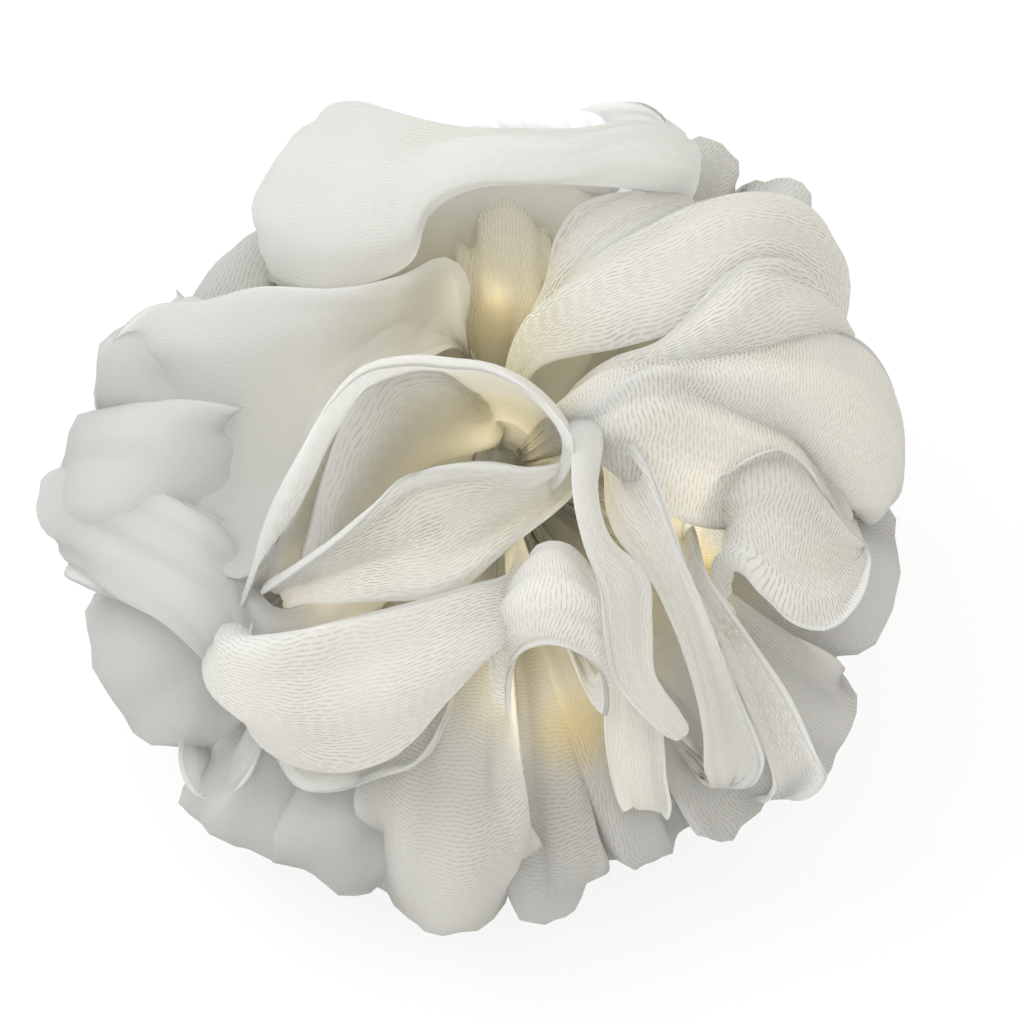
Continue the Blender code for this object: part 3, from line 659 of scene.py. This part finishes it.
def gathered(grid, rng, height):
    # soft folds that run from the gathers towards the rim, closer together near the gathers
    rows, columns = grid.shape[:2]
    width = np.linalg.norm(grid[:, -1] - grid[:, 0], axis=1)
    t = np.linspace(0, 1, rows)[:, None]
    s = np.linspace(0, 1, columns)[None]
    rise = np.zeros((rows, columns))
    for waves, share in net["folds"]:
        lean = 0.5 * np.sin(2 * np.pi * (t * rng.uniform(0.5, 1.4) + rng.uniform()))
        rise += share * np.sin(2 * np.pi * (waves * s * rng.uniform(0.85, 1.15) + rng.uniform() + lean))
    room = np.minimum(1, width / 14)[:, None] * np.sin(np.pi * t) ** 0.4
    pleats = 0.5 * np.cos(2 * np.pi * 9 * s + 2 * np.pi * rng.uniform()) * (1 - np.sin(np.pi * t) ** 0.5)
    ruffle = 0.75 + 0.5 * (2 * s - 1) ** 2
    return grid + gridNormals(grid) * (height * rise * room * ruffle + pleats)[..., None]


def petalMesh(bm, uvLayer, grid, swapped, slot):
    # a flattened tube round the grid: two layers that meet in a round fold at each edge
    rows, columns = grid.shape[:2]
    normals = gridNormals(grid)
    ring = np.concatenate([np.arange(columns), np.arange(columns - 2, 0, -1)])
    sides = np.concatenate([np.ones(columns), -np.ones(columns - 2)])
    across = np.cos(np.pi * np.arange(columns) / (columns - 1))
    rounding = np.sqrt(np.maximum(0, 1 - across ** 2))[ring] * sides * net["gap"] / 2
    points = toWorld(grid[:, ring] + normals[:, ring] * rounding[None, :, None])
    points[..., 2] = np.maximum(points[..., 2], net["lowest"] + net["pressed"] * (1 + sides[None]))
    run = np.concatenate([[0], np.cumsum(np.linalg.norm(np.diff(grid[:, columns // 2], axis=0), axis=1))])
    width = float(np.linalg.norm(np.diff(grid, axis=1), axis=2).sum(1).max())
    over = np.concatenate([(1 - across) / 2, 1 + (1 - across[1:]) / 2]) * width
    verts = [[bm.verts.new(p) for p in row] for row in points]
    count = len(ring)
    for r in range(rows - 1):
        for c in range(count):
            n = (c + 1) % count
            face = bm.faces.new((verts[r][c], verts[r][n], verts[r + 1][n], verts[r + 1][c]))
            face.smooth = True
            face.material_index = slot
            for loop, (i, k) in zip(face.loops, ((r, c), (r, c + 1), (r + 1, c + 1), (r + 1, c))):
                u, v = (over[k], run[i]) if swapped else (run[i], over[k])
                drift = sum(swing * math.sin(u * along + v * aside) for swing, along, aside in net["sway"])
                loop[uvLayer].uv = (u / net["stitch"], (v + drift) / net["pitch"])
    for row in (verts[0], verts[-1][::-1]):
        bm.faces.new(row[::-1]).material_index = slot


def backPlaces():
    # where the hidden petals point, each as long as the room under it allows
    golden = math.pi * (3 - math.sqrt(5))
    up = np.array((0.0, math.cos(pose["lean"]), math.sin(pose["lean"])))
    bulge = backPetals["bulge"]
    shapes = {}
    for place in range(backPetals["places"]):
        depth = 1 - 2 * (place + 0.5) / backPetals["places"]
        if depth > backPetals["from"]:
            continue
        ring = math.sqrt(1 - depth * depth)
        toward = np.array((ring * math.cos(golden * place), ring * math.sin(golden * place), depth))
        if toward[1] > 0.75 and depth > -0.6:
            continue
        down = -float(toward @ up)
        reach = backPetals["sideReach"] if depth > -0.3 else backPetals["reach"]
        if down > 0.2:
            reach = min(reach, (pose["centreHeight"] + backPetals["press"] * down ** 4) / down)
        swing = 4.0 * math.sin(place * 2.4)
        shapes[f"back_{place:02d}"] = (
            toward * reach, backPetals["width"] + swing, bulge, bulge,
            backPetals["droop"] * (1 - max(0.0, down)), swing, place * 1.1)
    point = pose["gatherPoint"]
    foot = point - up * (pose["centreHeight"] + float(point @ up) + backPetals["press"])
    shapes["underside"] = (foot, backPetals["width"], bulge, bulge, 0.0, 0.0, 0.0)
    return shapes


def polyethyleneNet(name, seeThrough):
    # ivory polyethylene thread, knitted into a net: bright matt threads with fine slits between them, which
    # let the light through and, where it is asked for, what is behind. The slits' darker colour is painted
    # shade of the layers behind them, and threads and slits both carry painted glow towards the gathers
    material, tree = newMaterial(name)
    spot = addNode(tree, "ShaderNodeUVMap", uv_map="net")
    parts = addNode(tree, "ShaderNodeSeparateXYZ", links={"Vector": spot.outputs[0]})
    edge, opened, clear, depth, warm = [
        addNode(tree, "ShaderNodeAttribute", attribute_name=label).outputs["Fac"]
        for label in ("rim", "open", "clear", "depth", "warm")]
    row = addNode(tree, "ShaderNodeMath", operation="FLOOR", links={0: parts.outputs[1]})
    scatter = addNode(tree, "ShaderNodeTexWhiteNoise", noise_dimensions="1D", links={"W": row.outputs[0]})
    offset = addNode(tree, "ShaderNodeMath", {1: net["jitter"]}, {0: scatter.outputs["Value"]},
                     operation="MULTIPLY")
    step = addNode(tree, "ShaderNodeMath", {1: 0.5}, {0: row.outputs[0], 2: offset.outputs[0]},
                   operation="MULTIPLY_ADD")
    along = addNode(tree, "ShaderNodeMath", operation="ADD", links={0: parts.outputs[0], 1: step.outputs[0]})
    turn = addNode(tree, "ShaderNodeMath", {1: math.pi}, {0: along.outputs[0]}, operation="MULTIPLY")
    wave = addNode(tree, "ShaderNodeMath", operation="SINE", links={0: turn.outputs[0]})
    bulge = addNode(tree, "ShaderNodeMath", operation="ABSOLUTE", links={0: wave.outputs[0]})
    lens = addNode(tree, "ShaderNodeMath", {1: 0.6}, {0: bulge.outputs[0]}, operation="POWER")
    widest = addNode(tree, "ShaderNodeMix", {2: net["slit"], 3: net["slitOpen"]}, {0: opened},
                     data_type="FLOAT")
    half = addNode(tree, "ShaderNodeMath", operation="MULTIPLY",
                   links={0: widest.outputs[0], 1: lens.outputs[0]})
    place = addNode(tree, "ShaderNodeMath", operation="FRACT", links={0: parts.outputs[1]})
    centred = addNode(tree, "ShaderNodeMath", {1: 0.5}, {0: place.outputs[0]}, operation="SUBTRACT")
    near = addNode(tree, "ShaderNodeMath", operation="ABSOLUTE", links={0: centred.outputs[0]})
    soft = net["slitSoftness"]
    inner = addNode(tree, "ShaderNodeMath", {1: soft}, {0: half.outputs[0]}, operation="SUBTRACT")
    outer = addNode(tree, "ShaderNodeMath", {1: soft}, {0: half.outputs[0]}, operation="ADD")
    cut = addNode(tree, "ShaderNodeMapRange", {"To Min": 1.0, "To Max": 0.0},
                  {"Value": near.outputs[0], "From Min": inner.outputs[0], "From Max": outer.outputs[0]},
                  interpolation_type="SMOOTHSTEP")
    fade = addNode(tree, "ShaderNodeMapRange", {"From Max": 0.5, "To Min": net["slitEnds"]},
                   {"Value": lens.outputs[0]})
    faded = addNode(tree, "ShaderNodeMath", operation="MULTIPLY",
                    links={0: cut.outputs[0], 1: fade.outputs[0]})
    inside = addNode(tree, "ShaderNodeMath", {0: 1.0}, {1: edge}, operation="SUBTRACT")
    between = addNode(tree, "ShaderNodeMath", operation="MULTIPLY",
                      links={0: faded.outputs[0], 1: inside.outputs[0]})
    seen = addNode(tree, "ShaderNodeMath", operation="MAXIMUM", links={0: clear, 1: opened})
    slit = addNode(tree, "ShaderNodeMath", operation="MULTIPLY",
                   links={0: between.outputs[0], 1: seen.outputs[0]})
    colours = []
    # painted light: towards the gathers and at the warm places the thread and slit colours turn brighter and
    # warmer, a painted glow for light passed on between the layers
    for kind, tint in (("threadToneAndGlow", "warmThread"), ("slitShadeAndGlow", "warmSlit")):
        ramp = addNode(tree, "ShaderNodeValToRGB", links={0: depth})
        for place, colour in zip((0.0, 0.5, 1.0), net[kind]):
            rampStop(ramp, place).color = linear(colour)
        colours.append(addNode(tree, "ShaderNodeMix", {7: linear(net[tint])}, {0: warm, 6: ramp.outputs[0]},
                               data_type="RGBA").outputs[2])
    # the slits take the darker slit colour: a real pattern of slits whose darkness is painted shade of the
    # layers behind them
    colour = addNode(tree, "ShaderNodeMix", data_type="RGBA",
                     links={0: slit.outputs[0], 6: colours[0], 7: colours[1]})
    skin = addNode(tree, "ShaderNodeBsdfPrincipled",
                   {"Roughness": 0.8, "IOR": 1.5, "Specular IOR Level": 0.0},
                   {"Base Color": colour.outputs[2]})
    through = addNode(tree, "ShaderNodeBsdfTranslucent", links={"Color": colour.outputs[2]})
    cloth = addNode(tree, "ShaderNodeMixShader", {0: net["through"]},
                    {1: skin.outputs[0], 2: through.outputs[0]})
    if seeThrough:
        least = addNode(tree, "ShaderNodeMapRange",
                        {"To Min": net["hidesInSlits"], "To Max": net["hidesPulledOpen"]}, {"Value": opened})
        solid = addNode(tree, "ShaderNodeMix", {2: 1.0}, {0: slit.outputs[0], 3: least.outputs[0]},
                        data_type="FLOAT")
        hole = addNode(tree, "ShaderNodeBsdfTransparent")
        cloth = addNode(tree, "ShaderNodeMixShader", links={0: solid.outputs[0], 1: hole.outputs[0],
                                                            2: cloth.outputs[0]})
    addNode(tree, "ShaderNodeOutputMaterial", links={"Surface": cloth.outputs[0]})
    return material


def rampStop(ramp, place):
    # the ramp's stop at this place, added if it has none there
    stops = ramp.color_ramp.elements
    for stop in stops:
        if abs(stop.position - place) < 0.01:
            return stop
    return stops.new(place)


def gatherBall(bm, uvLayer):
    # the bunch of pleats where all the petals meet, which hides the string
    rows, columns = 24, 160
    down = np.linspace(0, np.pi, rows)[:, None]
    turn = np.linspace(0, 2 * np.pi, columns, endpoint=False)[None]
    pleats = np.cos(net["bunchPleats"] * turn + 2 * np.sin(down * 2))
    radius = net["bunch"] + net["bunchDepth"] * np.sin(down) * pleats
    grid = np.stack([np.sin(down) * np.cos(turn), np.cos(down) + 0 * turn, np.sin(down) * np.sin(turn)], -1)
    points = toWorld(pose["gatherPoint"] + grid * radius[..., None])
    verts = [[bm.verts.new(p) for p in row] for row in points]
    for r in range(rows - 1):
        for c in range(columns):
            n = (c + 1) % columns
            corners = ((r, c), (r, n), (r + 1, n), (r + 1, c))
            face = bm.faces.new([verts[i][k] for i, k in corners])
            face.smooth = True
            for loop, (i, k) in zip(face.loops, ((r, c), (r, c + 1), (r + 1, c + 1), (r + 1, c))):
                loop[uvLayer].uv = (i * 0.7, k * 0.6)


def netPiece(name, grids, materials, withBunch=False):
    bm = bmesh.new()
    uvLayer = bm.loops.layers.uv.new("net")
    for petal, grid in grids.items():
        petalMesh(bm, uvLayer, grid, petal in acrossGrain, int(petal in sheerPetals))
    if withBunch:
        gatherBall(bm, uvLayer)
    mesh = bpy.data.meshes.new(name)
    bm.to_mesh(mesh)
    bm.free()
    for material in materials:
        mesh.materials.append(material)
    piece = bpy.data.objects.new(name, mesh)
    bpy.context.scene.collection.objects.link(piece)
    markNet(mesh, grids)
    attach(piece, "root")
    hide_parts("mesh_ruffle")


def markNet(mesh, grids):
    # how deep each point lies, how near a petal's edge, how plainly its slits show, how far the threads are
    # pulled apart and how warm the light has turned there
    count = len(mesh.vertices)
    places = np.empty(count * 3, np.float32)
    mesh.vertices.foreach_get("co", places)
    places = places.reshape(-1, 3)
    away = np.linalg.norm(places - toWorld(pose["gatherPoint"]), axis=1) / mm
    depth = np.clip((net["paleFrom"] - away) / (net["paleFrom"] - net["deepUpTo"]), 0, 1)
    opened, warm = spots(places, net["pulledOpen"]), spots(places, net["warmAt"])
    rims, plain = [np.zeros(0)], [np.zeros(0)]
    for petal, grid in grids.items():
        columns = grid.shape[1]
        across = np.abs(np.cos(np.pi * np.arange(columns) / (columns - 1)))
        width = np.linalg.norm(np.diff(grid, axis=1), axis=2).sum(1)
        ring = np.concatenate([np.arange(columns), np.arange(columns - 2, 0, -1)])
        inward = (1 - across[ring])[None] * width[:, None] / 2
        rims.append(np.clip(1 - inward / net["rimWidth"], 0, 1).ravel())
        plain.append(np.full(inward.size, net["faint"].get(petal, 1.0)))
    rims, plain = [np.concatenate([*part, np.zeros(count - sum(map(len, part)))]) for part in (rims, plain)]
    x, y, z = places.T / mm
    middle, broad, fine = net["clear"]
    clear = middle + broad * np.sin(0.11 * x + 0.07 * z + 1.3) * np.sin(0.09 * y - 0.08 * z)
    clear = np.clip(clear + fine * np.sin(0.31 * x - 0.22 * y + 0.17 * z), 0.15, 1) * plain
    for label, values in (("depth", depth), ("rim", rims), ("open", opened), ("clear", clear),
                          ("warm", warm)):
        mesh.attributes.new(label, "FLOAT", "POINT").data.foreach_set("value", values.astype(np.float32))


def spots(places, spread):
    # how far each point belongs to one of the places given
    share = np.zeros(len(places))
    for middle, radius, amount in spread:
        near = np.linalg.norm(places - toWorld(middle), axis=1) / mm / radius
        share = np.maximum(share, amount * np.clip(1.4 - 1.4 * near, 0, 1))
    return share


def makeNet():
    rng = np.random.default_rng(net["seed"])
    sheer = polyethyleneNet("sheer ivory polyethylene net", True)
    layered = polyethyleneNet("layered ivory polyethylene net", False)
    wide, narrow = [-np.cos(np.pi * np.arange(size // 2 + 1) / (size // 2))
                    for size in (net["ringFront"], net["ringSide"])]
    front = {name: gathered(bandGrid(*rails, net["rowsFront"], wide), rng, net["foldsFront"])
             for name, rails in bands.items()}
    side = {name: gathered(loopGrid(*shape, net["rowsSide"], narrow), rng, net["foldsSide"])
            for name, shape in loops.items()}
    back = {name: gathered(loopGrid(*shape, net["rowsBack"], narrow, twist), rng, net["foldsBack"])
            for name, (*shape, twist) in backPlaces().items()}
    netPiece("net_face", front, (layered, sheer))
    netPiece("net_sides", side, (layered,))
    netPiece("net_back", back, (layered,), withBunch=True)


makeNet()


# the string round the gathers

string = {
    "fibres": 3000.0,  # for each metre
    "relief": 0.1,  # mm
    "shades": ("#dfe0dc", "#f4f3ec"),
}


def nylonString():
    # a smooth, slightly glossy string with fine fibres
    material, tree = newMaterial("nylon string")
    place = addNode(tree, "ShaderNodeTexCoord")
    fibres = addNode(tree, "ShaderNodeTexNoise", {"Scale": string["fibres"], "Detail": 3.0},
                     {"Vector": place.outputs["Object"]})
    low, high = string["shades"]
    tint = addNode(tree, "ShaderNodeMix", {6: linear(low), 7: linear(high)}, {0: fibres.outputs[0]},
                   data_type="RGBA")
    relief = addNode(tree, "ShaderNodeBump", {"Strength": 0.4, "Distance": string["relief"] * mm},
                     {"Height": fibres.outputs[0]})
    skin = addNode(tree, "ShaderNodeBsdfPrincipled", {"Roughness": 0.35, "IOR": 1.53},
                   {"Base Color": tint.outputs[2], "Normal": relief.outputs[0]})
    addNode(tree, "ShaderNodeOutputMaterial", links={"Surface": skin.outputs[0]})
    return material


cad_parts["centre_tie"].material_slots[0].material = nylonString()
